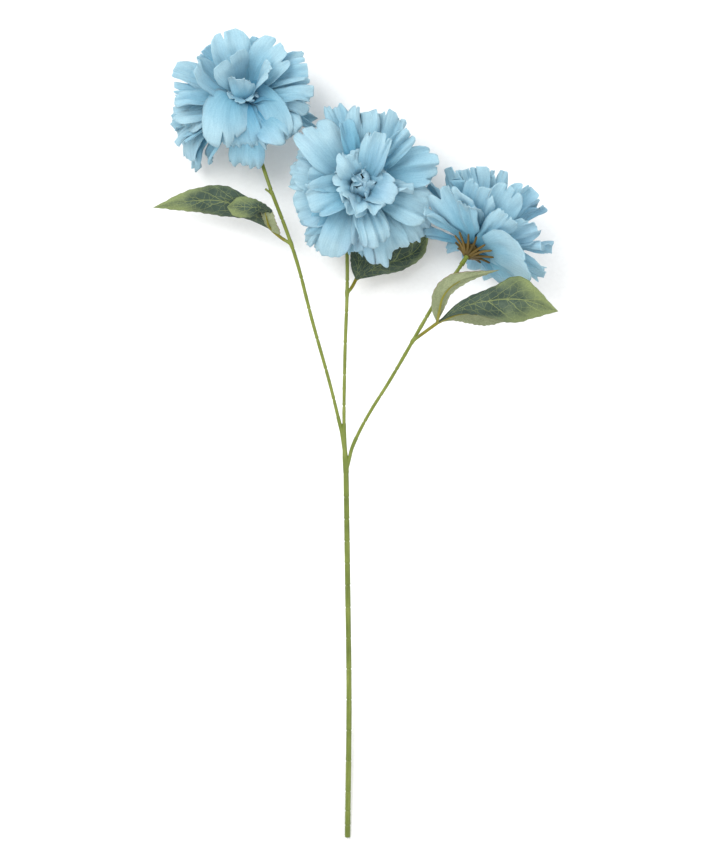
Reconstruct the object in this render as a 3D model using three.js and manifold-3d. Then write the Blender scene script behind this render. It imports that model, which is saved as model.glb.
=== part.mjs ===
// An artificial chrysanthemum stem lying on a table: three fabric flower heads on wired plastic branches,
// each branch carrying a three-lobed fabric leaf on a moulded rib. Millimetres, +Z up.
// The stem lies along Y with its cut end at -Y. The frame's origin is the centre of the stem's footprint.
import * as THREE from "three";
import { mergeVertices } from "three/addons/utils/BufferGeometryUtils.js";
import Module from "manifold-3d";

// ---- Driving dimensions ----

const GAP = 0.3; // between pieces that meet
const MOST_TURN = 0.09; // radians between a tube's stations
const MOST_STEP = 20; // and the distance between them

const STEM_RADIUS = 2.1;
const STEM_BORE = 1.4;
const STEM_WIRE = 1.05;
const STEM_LENGTH = 300;
const STEM_TILT = 24; // rise from the cut end to the fork
const RING_DEPTH = 0.5; // moulding rings pinched into the stem
const RING_WIDTH = 1.1;
const END_RINGS = [10, 22, 38]; // from the cut end
const LOW_RINGS = { start: 63, pitch: 25.3, count: 6 };
const HIGH_RINGS = { start: 207.6, pitch: 18.1, count: 5 };

const BRANCH_THIN = 1.25; // sheath radius at the fork
const BRANCH_THICK = 1.5; // sheath radius at the flower
const BRANCH_BORE = 0.9;
const BRANCH_WIRE = 0.55;
const NIB_LENGTH = 5; // side spigot that a leaf is pushed on to
const NIB_RADIUS = 1.25;
const BUD_NODE = 209; // where the left branch's bare spigot leaves it
const BUD_REACH = [-6.6, 6, 1.4];
const BUD_RADIUS = 0.9;

const FORK_REACH = { centre: 38, left: 16, right: 20 }; // length of each fork arm

const NECK_LENGTH = 10; // tubular neck of the calyx
const NECK_RADIUS = 2.6;
const CUP_RADIUS = 7.6;
const CUP_DEPTH = 10; // from the hub plane down to the neck
const CALYX_RIBS = 12;
const RIB_REACH = 20;

const PIN_RADIUS = 2.5;
const PIN_HEAD = 5.2;
const LAYER_PITCH = 2.5; // spacing of the fabric layers up the pin
const LAYER_HOLE = 3.1;
const FABRIC = 0.8; // stiffened fabric, drawn thick enough to be a solid
const FLAT_HUB = 6; // each layer stays flat to this radius
const HUB_BEND = 14; // and has turned to its own splay by this one

// Each fabric layer from the back of the flower to its middle. Splay is measured from the flower's axis.
const LAYERS = [
  { petals: 7, length: 63, splay: 79, tip: 108 },
  { petals: 7, length: 64, splay: 70, tip: 90 },
  { petals: 6, length: 65, splay: 58, tip: 70 },
  { petals: 6, length: 64, splay: 45, tip: 52 },
  { petals: 5, length: 60, splay: 30, tip: 35 },
  { petals: 5, length: 50, splay: 15, tip: 18 },
];

// A flower's place is its hub, where the first layer sits. Openness scales every splay.
const FLOWERS = {
  left: { hub: [-81, 283], axis: [-0.12, 0.63, 0.77], openness: 1.05, size: 0.97, roll: 10, clearance: 0 },
  centre: { hub: [10, 215], axis: [0.13, 0.13, 0.98], openness: 1, size: 0.95, roll: 25, clearance: 32 },
  right: { hub: [103.5, 167], axis: [0.48, 0.72, -0.48], openness: 0.85, size: 0.93, roll: 32, clearance: 0 },
};

const LEAF_THICK = 0.7;
const LEAF_RIB = 1.2; // radius of the moulded rib at the petiole
const LEAF_RIB_TIP = 0.5;
const LEAF_EDGE = 0.5; // half-width left at a lobe's tip

// ---- Colours ----

const paint = (color, roughness, metalness = 0) =>
  new THREE.MeshStandardMaterial({ color, roughness, metalness });
const COLOURS = {
  sheath: paint(0x7c8a3c, 0.45),
  wire: paint(0x9a9c9e, 0.35, 1),
  calyx: paint(0x74661d, 0.5),
  petal: paint(0x9dcbdf, 0.85),
  leaf: paint(0x5d7a5c, 0.7),
  rib: paint(0x848a24, 0.45),
};

// ---- Small helpers ----

const vec = (x, y, z) => new THREE.Vector3(x, y, z);
const at = (list) => new THREE.Vector3(...list);
const radians = THREE.MathUtils.degToRad;
const mix = THREE.MathUtils.lerp;
const smooth = THREE.MathUtils.smoothstep;
const spline = (points) => new THREE.CatmullRomCurve3(points, false, "centripetal");

const wasm = await Module();
wasm.setup();

/** The geometry as a manifold-3d solid, its shared vertices merged. */
function solid(geometry) {
  const bare = geometry.clone().deleteAttribute("normal").deleteAttribute("uv");
  const merged = mergeVertices(bare, 1e-3);
  const vertProperties = merged.attributes.position.array;
  const triVerts = new Uint32Array(merged.index.array);
  return new wasm.Manifold(new wasm.Mesh({ numProp: 3, vertProperties, triVerts }));
}

/** A BufferGeometry of a manifold-3d solid. */
function geometryOf(made) {
  const { vertProperties, triVerts } = made.getMesh();
  const geometry = new THREE.BufferGeometry();
  geometry.setAttribute("position", new THREE.BufferAttribute(vertProperties, 3));
  geometry.setIndex(new THREE.BufferAttribute(triVerts, 1));
  return geometry;
}

/** The geometries joined, with the cutters taken away and any loose crumb dropped. */
function carve(geometries, cutters = []) {
  const joined = geometries.map(solid).reduce((a, b) => a.add(b));
  const carved = cutters.map(solid).reduce((a, b) => a.subtract(b), joined);
  return geometryOf(carved.decompose().sort((a, b) => b.volume() - a.volume())[0]);
}

/** Moves every vertex of the geometry to where place(vertex) says. */
function reshape(geometry, place) {
  const position = geometry.attributes.position;
  const point = new THREE.Vector3();
  for (let i = 0; i < position.count; i++) {
    const moved = place(point.fromBufferAttribute(position, i));
    position.setXYZ(i, moved.x, moved.y, moved.z);
  }
  return geometry;
}

/** A lathe profile of (radius, distance along) swept along a curve. */
function sweep(profile, curve, sides) {
  const steps = 240;
  const length = curve.getLength();
  const frames = curve.computeFrenetFrames(steps);
  const lathe = new THREE.LatheGeometry(profile, sides);
  return reshape(lathe, (p) => {
    const along = THREE.MathUtils.clamp(p.y / length, 0, 1);
    const i = Math.round(along * steps);
    return curve
      .getPointAt(along)
      .addScaledVector(frames.normals[i], p.x)
      .addScaledVector(frames.binormals[i], -p.z);
  });
}

const knotsOf = new Map();

/** Distances along a curve that follow its bends. Tubes on one curve share them, so sheaths clear cores. */
function knots(curve) {
  if (knotsOf.has(curve)) return knotsOf.get(curve);
  const length = curve.getLength();
  const found = [0];
  let heading = curve.getTangentAt(0);
  for (let d = 1; d < length; d++) {
    const here = curve.getTangentAt(d / length);
    if (here.angleTo(heading) < MOST_TURN && d - found.at(-1) < MOST_STEP) continue;
    found.push(d);
    heading = here;
  }
  knotsOf.set(curve, found);
  return found;
}

/** The distances from one place on a curve to another, by way of its knots. */
function stations(curve, from, to) {
  return [from, ...knots(curve).filter((d) => d > from + 1 && d < to - 1), to];
}

/** A tapering tube or rod along part of a curve: solid if bore is 0. */
function tube(curve, from, to, [startRadius, endRadius], { bore = 0, sides = 8 } = {}) {
  const distances = stations(curve, from, to);
  const radiusAt = (d) => mix(startRadius, endRadius, (d - from) / (to - from));
  const outside = distances.map((d) => new THREE.Vector2(radiusAt(d), d));
  if (!bore) return sweep([new THREE.Vector2(0, from), ...outside, new THREE.Vector2(0, to)], curve, sides);
  const inside = distances.toReversed().map((d) => new THREE.Vector2(bore, d));
  return sweep([...outside, ...inside, outside[0]], curve, sides);
}

const part = new THREE.Group();

/** Adds a named piece to a group. */
function add(group, name, geometry, material) {
  const mesh = new THREE.Mesh(geometry, material);
  mesh.name = name;
  group.add(mesh);
  return mesh;
}

// ---- Flower heads: local +Z is the flower's axis, and the hub is at the local origin ----

/** Height and radius of the sheet at a distance from the pin, bending from flat to the splay to the tip. */
function sheetPoint(distance, layer, length) {
  const steps = 12;
  let radial = LAYER_HOLE;
  let height = 0;
  let angle = radians(90);
  for (let i = 0; i < steps; i++) {
    const here = mix(LAYER_HOLE, distance, (i + 0.5) / steps);
    const opened = mix(90, layer.splay, smooth(here, FLAT_HUB, HUB_BEND));
    angle = radians(mix(opened, layer.tip, smooth(here, length * 0.3, length)));
    radial += (Math.sin(angle) * (distance - LAYER_HOLE)) / steps;
    height += (Math.cos(angle) * (distance - LAYER_HOLE)) / steps;
  }
  return { radial, height, angle };
}

/** One die-cut layer: a disc with a pin hole, slit into petals and pressed to its splay. */
function petalLayer(layer, index) {
  const half = FABRIC / 2;
  const rings = [LAYER_HOLE, 8, 20, layer.length * 0.66, layer.length];
  const washer = [
    ...rings.map((r) => new THREE.Vector2(r, -half)),
    ...rings.toReversed().map((r) => new THREE.Vector2(r, half)),
    new THREE.Vector2(rings[0], -half),
  ];
  const perPetal = 3;
  const disc = new THREE.LatheGeometry(washer, layer.petals * perPetal);
  const slitDepth = 0.34;
  const turn = (index * Math.PI) / layer.petals;
  return reshape(disc, (p) => {
    const around = Math.atan2(p.x, p.z);
    const slit = Math.abs(Math.cos((around * layer.petals) / 2)) > 0.9 ? slitDepth : 0;
    const flat = Math.hypot(p.x, p.z);
    const distance = flat * (1 - slit * smooth(flat, 20, layer.length));
    const { radial, height, angle } = sheetPoint(distance, layer, layer.length);
    const out = radial - Math.cos(angle) * p.y;
    const up = height + Math.sin(angle) * p.y + index * LAYER_PITCH + FABRIC;
    return vec(out * Math.sin(around + turn), -out * Math.cos(around + turn), up);
  });
}

/** The moulded calyx: a neck, a shallow cup and a star of ribs under the first layer. */
function calyx() {
  const floor = -CUP_DEPTH;
  const neckEnd = floor - NECK_LENGTH;
  const profile = [
    [0, floor - 1],
    [BRANCH_BORE + GAP, floor - 1],
    [BRANCH_BORE + GAP, neckEnd],
    [NECK_RADIUS, neckEnd],
    [NECK_RADIUS - 0.2, floor],
    [4.4, floor + 3],
    [CUP_RADIUS, -3.4],
    [CUP_RADIUS - 0.4, -2.4],
    [PIN_RADIUS + GAP, -3.8],
    [PIN_RADIUS + GAP, floor + 1.6],
    [0, floor + 1.6],
  ].map(([r, z]) => new THREE.Vector2(r, z));
  const body = new THREE.LatheGeometry(profile, 10).rotateX(Math.PI / 2);
  const rib = (i) => {
    const route = spline([vec(5.4, 0, -4.4), vec(12, 0, -2), vec(RIB_REACH, 0, 0.3)]);
    const bar = tube(route, 0, route.getLength(), [0.95, 0.5], { sides: 4 });
    return bar.rotateZ((i * 2 * Math.PI) / CALYX_RIBS);
  };
  return carve([body, ...Array.from({ length: CALYX_RIBS }, (_, i) => rib(i))]);
}

/** The peg through the layers, with a flat button that keeps them on. */
function headPin() {
  const top = LAYERS.length * LAYER_PITCH + FABRIC;
  const profile = [
    [0, -8.1],
    [PIN_RADIUS, -8.1],
    [PIN_RADIUS, top],
    [PIN_HEAD, top + 0.3],
    [PIN_HEAD * 0.7, top + 2],
    [0, top + 2.6],
  ].map(([r, z]) => new THREE.Vector2(r, z));
  return new THREE.LatheGeometry(profile, 8).rotateX(Math.PI / 2);
}

/** A whole flower in its own group, turned to its axis and set down at its clearance over the table. */
function flower(name, { hub, axis, openness, size, roll, clearance }) {
  const group = new THREE.Group();
  add(group, `calyx_${name}`, calyx(), COLOURS.calyx);
  add(group, `head_pin_${name}`, headPin(), COLOURS.calyx);
  LAYERS.forEach((layer, i) => {
    const opened = {
      petals: layer.petals,
      length: layer.length * size,
      splay: layer.splay * Math.sqrt(openness),
      tip: layer.tip * openness,
    };
    add(group, `petals_${name}_${i + 1}`, petalLayer(opened, i), COLOURS.petal);
  });
  const pointing = at(axis).normalize();
  group.quaternion
    .setFromUnitVectors(vec(0, 0, 1), pointing)
    .multiply(new THREE.Quaternion().setFromAxisAngle(vec(0, 0, 1), radians(roll)));
  const lowest = new THREE.Box3().setFromObject(group, true).min.z;
  group.position.set(hub[0], hub[1], clearance - lowest);
  part.add(group);
  const along = (distance) => group.position.clone().addScaledVector(pointing, distance);
  return { along };
}

const heads = Object.fromEntries(
  Object.entries(FLOWERS).map(([name, facts]) => [name, flower(name, facts)]),
);

// ---- Stem, fork and branches ----

const NECK_END = -(CUP_DEPTH + NECK_LENGTH);
const WIRE_END = -(CUP_DEPTH + 2);

/** A branch's centreline: the given points, then straight into the calyx's neck. */
function branchRoute(name, points) {
  const head = heads[name];
  return spline([...points.map(at), head.along(NECK_END - 8), head.along(NECK_END), head.along(WIRE_END)]);
}

/** The point of a curve that runs up the object at a given Y. */
function pointAtY(curve, y) {
  let [low, high] = [0, 1];
  for (let i = 0; i < 30; i++) {
    const middle = (low + high) / 2;
    [low, high] = curve.getPointAt(middle).y < y ? [middle, high] : [low, middle];
  }
  return curve.getPointAt(low);
}

const FORK_Z = STEM_TILT;
const ROUTES = {
  centre: branchRoute("centre", [
    [0, -16, FORK_Z],
    [-1.6, 18, FORK_Z + 1],
    [-0.8, 84, FORK_Z + 4],
    [0.8, 130, FORK_Z + 5],
    [0.6, 165, FORK_Z + 4],
    [-2, 186, FORK_Z + 1],
  ]),
  left: branchRoute("left", [
    [-2.6, 12, FORK_Z + 1],
    [-5.4, 24, FORK_Z + 1.4],
    [-13, 55, FORK_Z + 3],
    [-27.8, 108, FORK_Z + 6],
    [-40, 155, FORK_Z + 9],
    [-49.8, 184, FORK_Z + 11],
    [-62, 216, FORK_Z + 14],
  ]),
  right: branchRoute("right", [
    [2.4, -8, FORK_Z + 0.6],
    [4.4, 2, FORK_Z + 1.2],
    [15.6, 26, FORK_Z + 6],
    [36, 59, FORK_Z + 16],
    [54, 90, FORK_Z + 27],
    [72, 121, FORK_Z + 37],
  ]),
};

const stemFoot = vec(1.2, -16 - STEM_LENGTH, STEM_RADIUS + 0.1);
const STEM_ROUTE = spline([
  stemFoot,
  vec(2.4, -202, mix(stemFoot.z, FORK_Z, 0.38)),
  vec(1.2, -100, mix(stemFoot.z, FORK_Z, 0.72)),
  vec(0, -16 - GAP, FORK_Z),
]);

/** The main stem's sheath: a hollow rod pinched by moulding rings. */
function mainStem() {
  const length = STEM_ROUTE.getLength();
  const spaced = ({ start, pitch, count }) => Array.from({ length: count }, (_, i) => start + i * pitch);
  const rings = [...END_RINGS, ...spaced(LOW_RINGS), ...spaced(HIGH_RINGS)];
  const pinched = rings.flatMap((d) => [
    new THREE.Vector2(STEM_RADIUS, d - RING_WIDTH / 2),
    new THREE.Vector2(STEM_RADIUS - RING_DEPTH, d),
    new THREE.Vector2(STEM_RADIUS, d + RING_WIDTH / 2),
  ]);
  const outside = [
    new THREE.Vector2(STEM_RADIUS - 0.3, 0),
    new THREE.Vector2(STEM_RADIUS, 0.6),
    ...pinched,
    new THREE.Vector2(STEM_RADIUS, length),
  ];
  const inside = stations(STEM_ROUTE, 0, length).map((d) => new THREE.Vector2(STEM_BORE, d));
  return sweep([...outside, ...inside.toReversed(), outside[0]], STEM_ROUTE, 10);
}

/** The moulded fork that holds all three branches. */
function fork() {
  const { centre, left, right } = ROUTES;
  const arms = [
    tube(centre, 0, FORK_REACH.centre, [STEM_RADIUS, 1.5], { sides: 10 }),
    tube(left, 0, FORK_REACH.left, [1.1, BRANCH_THIN]),
    tube(right, 0, FORK_REACH.right, [1.2, BRANCH_THIN]),
  ];
  const bores = [
    tube(centre, -1, 2.4, [STEM_BORE, STEM_BORE]),
    tube(centre, 2.7, FORK_REACH.centre + 1, [BRANCH_BORE, BRANCH_BORE]),
    tube(left, 4, FORK_REACH.left + 1, [BRANCH_BORE, BRANCH_BORE]),
    tube(right, 4, FORK_REACH.right + 1, [BRANCH_BORE, BRANCH_BORE]),
  ];
  return carve(arms, bores);
}

/** A branch's sheath with the spigots along it: curves that start on its centreline. */
function branch(name, spigots) {
  const route = ROUTES[name];
  const end = route.getLength() - (WIRE_END - NECK_END) - GAP;
  const radii = [BRANCH_THIN, BRANCH_THICK];
  const sheath = tube(route, FORK_REACH[name] + GAP, end, radii);
  const nibs = spigots.map(({ curve, length, radius }) =>
    tube(curve, 0, length, [radius * 0.8, radius], { sides: 6 }),
  );
  const core = tube(route, FORK_REACH[name], end + 1, [BRANCH_BORE, BRANCH_BORE]);
  return carve([sheath, ...nibs], [core]);
}

/** The steel core of a branch. */
function branchWire(name) {
  const route = ROUTES[name];
  const start = name === "centre" ? 3.2 : 5;
  return tube(route, start, route.getLength() - 1, [BRANCH_WIRE, BRANCH_WIRE], { sides: 6 });
}

// ---- Leaves ----

/** Half-width along a lobe, from its base to its pointed tip. */
function lobeWidth(along, width) {
  const swell = Math.sin(Math.PI * Math.pow(along, 0.8)) * (1 - 0.35 * along);
  return Math.max(LEAF_EDGE, width * (swell / 0.82) + mix(1.4, 0, along));
}

/** One lobe as a thin plate along its midrib, folded up on both sides. */
function lobe({ midrib, up, width, fold }) {
  const route = spline(midrib.map(at));
  const plate = new THREE.BoxGeometry(2, LEAF_THICK, 1, 2, 1, 6);
  return reshape(plate, (p) => {
    const along = p.z + 0.5;
    const tangent = route.getTangentAt(along);
    const across = tangent.clone().cross(at(up)).normalize();
    const normal = across.clone().cross(tangent);
    const reach = lobeWidth(along, width) * Math.abs(p.x);
    return route
      .getPointAt(along)
      .addScaledVector(across, Math.sign(p.x) * reach * -Math.cos(radians(fold)))
      .addScaledVector(normal, p.y + reach * Math.sin(radians(fold)));
  });
}

/** A point under a lobe's midrib, where the middle of its moulded rib runs. */
function underLobe({ midrib, up }, along) {
  const route = spline(midrib.map(at));
  const tangent = route.getTangentAt(along);
  const normal = tangent.clone().cross(at(up)).normalize().cross(tangent);
  return route.getPointAt(along).addScaledVector(normal, -(LEAF_THICK / 2 + LEAF_RIB + GAP));
}

/** The centreline of a lobe's rib: from the end of the petiole, under part of the lobe's length. */
function ribRoute(lobes, index, share) {
  const below = [0.35, 0.7, 1].map((t) => underLobe(lobes[index], t * share));
  return spline([underLobe(lobes[0], 0), ...below]);
}

const SPRIGS = {
  left: {
    node: 170,
    petiole: [[-52.5, 174.8, FORK_Z + 9]],
    lobes: [
      {
        midrib: [[-60, 181, 36], [-76, 193, 38], [-107, 205, 40], [-131, 204, 37], [-158, 199, 28]],
        up: [0, -0.1, 1], width: 13, fold: 8,
      },
      {
        midrib: [[-60, 181, 36], [-62, 191, 45], [-70, 199, 52], [-82, 200, 53], [-94, 195, 47]],
        up: [-0.3, -0.5, 0.6], width: 11, fold: 4,
      },
      {
        midrib: [[-60, 181, 36], [-74, 186, 32], [-92, 190, 26], [-112, 192, 18]],
        up: [0, 0.1, 1], width: 9, fold: 10,
      },
    ],
  },
  centre: {
    node: 130,
    petiole: [[4.2, 134, FORK_Z + 3]],
    lobes: [
      {
        midrib: [[8, 141, 25], [26, 151, 22], [45, 155, 17], [60, 162, 13], [71, 177, 9]],
        up: [0, 0, 1], width: 14, fold: 8,
      },
      {
        midrib: [[8, 141, 25], [12, 158, 22], [10, 176, 17], [7, 192, 11]],
        up: [0, 0, 1], width: 9, fold: 8,
      },
      {
        midrib: [[8, 141, 25], [19, 157, 23], [33, 173, 17], [44, 186, 10]],
        up: [0, 0, 1], width: 9, fold: 8,
      },
    ],
  },
  right: {
    node: 90.6,
    petiole: [[63, 97, FORK_Z + 36]],
    lobes: [
      {
        midrib: [[74, 105, 66], [90, 118, 73], [110, 125, 79], [136, 126, 82], [172, 115, 72]],
        up: [0.1, 0.3, 1], width: 18, fold: 6,
      },
      {
        midrib: [[74, 105, 66], [77, 118, 76], [84, 132, 82], [98, 141, 83], [124, 147, 80]],
        up: [0.5, -0.4, -0.6], width: 8, fold: 12,
      },
      {
        midrib: [[74, 105, 66], [88, 112, 63], [104, 112, 57], [130, 107, 48]],
        up: [0, -0.3, -1], width: 8.5, fold: 10,
      },
    ],
  },
};

/** A petiole's centreline, from inside its branch to where the lobes meet. */
function stalkOf(name) {
  const { node, petiole, lobes } = SPRIGS[name];
  return spline([pointAtY(ROUTES[name], node), ...petiole.map(at), underLobe(lobes[0], 0)]);
}

/** The petiole and the ribs of a leaf, as bars thickened by a margin. */
function leafBars(name, margin, share) {
  const stalk = stalkOf(name);
  const { lobes } = SPRIGS[name];
  const start = NIB_LENGTH + 3 * GAP;
  const thick = LEAF_RIB + margin;
  const bars = lobes.map((_, i) => {
    const route = ribRoute(lobes, i, share);
    return tube(route, 0, route.getLength(), [thick, LEAF_RIB_TIP + margin], { sides: 6 });
  });
  return [tube(stalk, start, stalk.getLength(), [thick, thick], { sides: 6 }), ...bars];
}

/** The fabric blade and the moulded rib behind it. */
function sprig(name, { lobes }) {
  add(part, `leaf_rib_${name}`, carve(leafBars(name, 0, 0.58)), COLOURS.rib);
  add(part, `leaf_${name}`, carve(lobes.map(lobe), leafBars(name, GAP, 0.6)), COLOURS.leaf);
}

// ---- Assembly ----

add(part, "main_stem", mainStem(), COLOURS.sheath);
const wireEnd = STEM_ROUTE.getLength() - 1.5;
const stemWire = tube(STEM_ROUTE, 0.4, wireEnd, [STEM_WIRE, STEM_WIRE], { sides: 6 });
add(part, "stem_wire", stemWire, COLOURS.wire);
add(part, "stem_fork", fork(), COLOURS.sheath);

/** The bare spigot of a leaf that the left branch no longer carries. */
const budNode = pointAtY(ROUTES.left, BUD_NODE);
const bud = new THREE.LineCurve3(budNode, budNode.clone().add(at(BUD_REACH)));

for (const [name, facts] of Object.entries(SPRIGS)) {
  const spigots = [{ curve: stalkOf(name), length: NIB_LENGTH, radius: NIB_RADIUS }];
  if (name === "left") spigots.push({ curve: bud, length: bud.getLength(), radius: BUD_RADIUS });
  add(part, `branch_${name}`, branch(name, spigots), COLOURS.sheath);
  add(part, `wire_${name}`, branchWire(name), COLOURS.wire);
  sprig(name, facts);
}

const footprint = new THREE.Box3().setFromObject(part, true);
const middle = footprint.getCenter(new THREE.Vector3());
part.position.set(-middle.x, -middle.y, -footprint.min.z);

export default part;
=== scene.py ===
"""Artificial chrysanthemum spray: fabric flowers and leaves on wired plastic branches, lying on a pale table.

Lengths are in millimetres until a mesh is made. Seen from above, +Y is up the stem and +Z is towards the
viewer.
"""

import math
import random

import bmesh
import bpy
import numpy as np
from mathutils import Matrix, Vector, noise


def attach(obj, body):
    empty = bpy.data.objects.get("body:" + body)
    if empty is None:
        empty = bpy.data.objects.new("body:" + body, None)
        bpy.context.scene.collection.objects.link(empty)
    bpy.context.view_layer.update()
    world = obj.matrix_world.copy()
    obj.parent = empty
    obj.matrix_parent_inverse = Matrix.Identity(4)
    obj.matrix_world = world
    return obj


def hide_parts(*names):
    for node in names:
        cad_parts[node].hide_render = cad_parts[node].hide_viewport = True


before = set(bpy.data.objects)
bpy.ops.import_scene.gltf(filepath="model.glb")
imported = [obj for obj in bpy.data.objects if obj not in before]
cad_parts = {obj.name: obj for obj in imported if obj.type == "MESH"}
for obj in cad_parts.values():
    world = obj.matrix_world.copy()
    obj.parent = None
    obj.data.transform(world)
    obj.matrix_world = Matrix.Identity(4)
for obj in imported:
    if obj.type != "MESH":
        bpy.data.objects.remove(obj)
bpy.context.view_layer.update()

MM = 0.001
ROOT = "root"
HEADS = ("left", "centre", "right")

# The same facts as in the part's source.
LEFT_HUB = np.array([-81.0, 283.0])
PIN_FOOT = 8.1
LAYER_PITCH = 2.5
LAYER_LIFT = 0.8
LAYER_HOLE = 3.1


# ---------------------------------------------------------------- small maths


def smooth(x, low, high):
    t = np.clip((np.asarray(x, float) - low) / (high - low), 0, 1)
    return t * t * (3 - 2 * t)


def mix(a, b, t):
    return a + (b - a) * t


def unit(v):
    v = np.asarray(v, float)
    return v / np.linalg.norm(v)


def srgb(r, g, b):
    """A linear RGBA colour from 0-255 sRGB."""

    def linear(c):
        c /= 255
        return c / 12.92 if c <= 0.04045 else ((c + 0.055) / 1.055) ** 2.4

    return (linear(r), linear(g), linear(b), 1.0)


def distances(points):
    """How far along a line each of its points is."""
    return np.concatenate([[0], np.cumsum(np.linalg.norm(np.diff(points, axis=0), axis=1))])


def curve_through(points, count):
    """Evenly spaced points on a centripetal Catmull-Rom curve through the given ones."""
    p = np.asarray(points, float)
    p = np.vstack([2 * p[0] - p[1], p, 2 * p[-1] - p[-2]])
    out = []
    for i in range(1, len(p) - 2):
        p0, p1, p2, p3 = p[i - 1 : i + 3]
        k0 = 0.0
        k1 = k0 + max(np.linalg.norm(p1 - p0), 1e-6) ** 0.5
        k2 = k1 + max(np.linalg.norm(p2 - p1), 1e-6) ** 0.5
        k3 = k2 + max(np.linalg.norm(p3 - p2), 1e-6) ** 0.5
        for t in np.linspace(k1, k2, 24, endpoint=False):
            a1 = mix(p0, p1, (t - k0) / (k1 - k0))
            a2 = mix(p1, p2, (t - k1) / (k2 - k1))
            a3 = mix(p2, p3, (t - k2) / (k3 - k2))
            b1 = mix(a1, a2, (t - k0) / (k2 - k0))
            b2 = mix(a2, a3, (t - k1) / (k3 - k1))
            out.append(mix(b1, b2, (t - k1) / (k2 - k1)))
    out.append(p[-2])
    out = np.array(out)
    length = distances(out)
    want = np.linspace(0, length[-1], count)
    return np.column_stack([np.interp(want, length, out[:, k]) for k in range(3)])


def frames_along(points):
    """Tangent, side and top unit vectors along a curve, turning as little as possible."""
    tangents = np.gradient(points, axis=0)
    tangents /= np.linalg.norm(tangents, axis=1)[:, None]
    side = np.cross(tangents[0], (0, 0, 1))
    if np.linalg.norm(side) < 0.2:
        side = np.cross(tangents[0], (1, 0, 0))
    sides = []
    for t in tangents:
        side = unit(side - t * np.dot(side, t))
        sides.append(side)
    sides = np.array(sides)
    return tangents, sides, np.cross(sides, tangents)


# ---------------------------------------------------------------- reading the frame


def node_points(name):
    """The distinct vertices of a CAD node, in millimetres."""
    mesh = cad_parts[name].data
    co = np.empty(len(mesh.vertices) * 3)
    mesh.vertices.foreach_get("co", co)
    return np.unique(np.round(co.reshape(-1, 3) / MM, 3), axis=0)


def head_frame(name):
    """Where a flower's hub is, and its axes: X, Y and the flower's own axis as rows."""
    points = node_points(f"head_pin_{name}")
    middle = points.mean(axis=0)
    axis = np.linalg.svd(points - middle)[2][0]
    along = (points - middle) @ axis
    radius = np.linalg.norm(points - middle - np.outer(along, axis), axis=1)
    if radius[along > 0].max() < radius[along < 0].max():
        axis, along = -axis, -along
    hub = middle + axis * (along.min() + PIN_FOOT)
    y = unit(np.array([0, 1, 0]) - axis * axis[1])
    return hub, np.array([np.cross(y, axis), y, axis])


def core_line(name, radius):
    """The centreline of a CAD rod, from the rings of vertices that it is made of."""
    points = node_points(name)
    left = list(range(len(points)))
    rings = []
    while left:
        ring = [left.pop(0)]
        grew = True
        while grew:
            apart = {i: np.linalg.norm(points[ring] - points[i], axis=1).min() for i in left}
            near = [i for i in left if apart[i] < radius * 1.25]
            ring += near
            left = [i for i in left if i not in near]
            grew = bool(near)
        rings.append(points[ring].mean(axis=0))
    rings.sort(key=lambda p: p[1])
    line = [rings.pop(0)]
    while rings:
        rings.sort(key=lambda p: np.linalg.norm(p - line[-1]))
        line.append(rings.pop(0))
    return np.array(line)


hubs = {name: head_frame(name) for name in HEADS}
SHIFT = np.append(hubs["left"][0][:2] - LEFT_HUB, 0)  # from the part's drawing to the frame


def placed(points):
    """Points of the part's drawing, in the frame."""
    return np.asarray(points, float) + SHIFT


# ---------------------------------------------------------------- mesh making


class Sheet:
    """Grids of quads gathered into one mesh, with a UV map and a tone for each vertex, which is painted shade
    on shaded petals.
    """

    def __init__(self):
        self.points, self.quads, self.uvs, self.tones, self.marks = [], [], [], [], []
        self.count = 0

    def grid(self, points, uv, tone, mark=0, wrap=False):
        """Adds a grid of shape (rows, columns, 3). With wrap, the last column joins the first."""
        rows, cols = points.shape[:2]
        index = np.arange(rows * cols).reshape(rows, cols) + self.count
        if wrap:
            index = np.hstack([index, index[:, :1]])
        a, b, c, d = index[:-1, :-1], index[:-1, 1:], index[1:, 1:], index[1:, :-1]
        quads = np.stack([a, b, c, d], axis=-1).reshape(-1, 4)
        self.points.append(points.reshape(-1, 3))
        self.uvs.append(uv.reshape(-1, 2))
        self.tones.append(np.broadcast_to(tone, (rows, cols)).reshape(-1))
        self.marks += [mark] * len(quads)
        self.quads.append(quads)
        self.count += rows * cols

    def build(self, name, materials, join=0.02):
        points = np.vstack(self.points) * MM
        quads = np.vstack(self.quads)
        mesh = bpy.data.meshes.new(name)
        mesh.from_pydata(points.tolist(), [], quads.tolist())
        uv = mesh.uv_layers.new(name="surface")
        uv.data.foreach_set("uv", np.vstack(self.uvs)[quads.reshape(-1)].reshape(-1))
        tone = mesh.attributes.new("tone", "FLOAT", "POINT")
        tone.data.foreach_set("value", np.concatenate(self.tones))
        mesh.polygons.foreach_set("material_index", self.marks)
        mesh.polygons.foreach_set("use_smooth", [True] * len(quads))
        for material in materials:
            mesh.materials.append(material)
        piece = bpy.data.objects.new(name, mesh)
        bpy.context.scene.collection.objects.link(piece)
        if join:
            bm = bmesh.new()
            bm.from_mesh(mesh)
            bmesh.ops.remove_doubles(bm, verts=bm.verts, dist=join * MM)
            bmesh.ops.dissolve_degenerate(bm, edges=bm.edges, dist=join * MM * 0.1)
            bm.to_mesh(mesh)
            bm.free()
        mesh.update()
        return piece


def thicken(piece, thickness, back=0, rim=0):
    solid = piece.modifiers.new("thickness", "SOLIDIFY")
    solid.thickness = thickness * MM
    solid.offset = 0
    solid.material_offset = back
    solid.material_offset_rim = rim
    solid.use_even_offset = False


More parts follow.
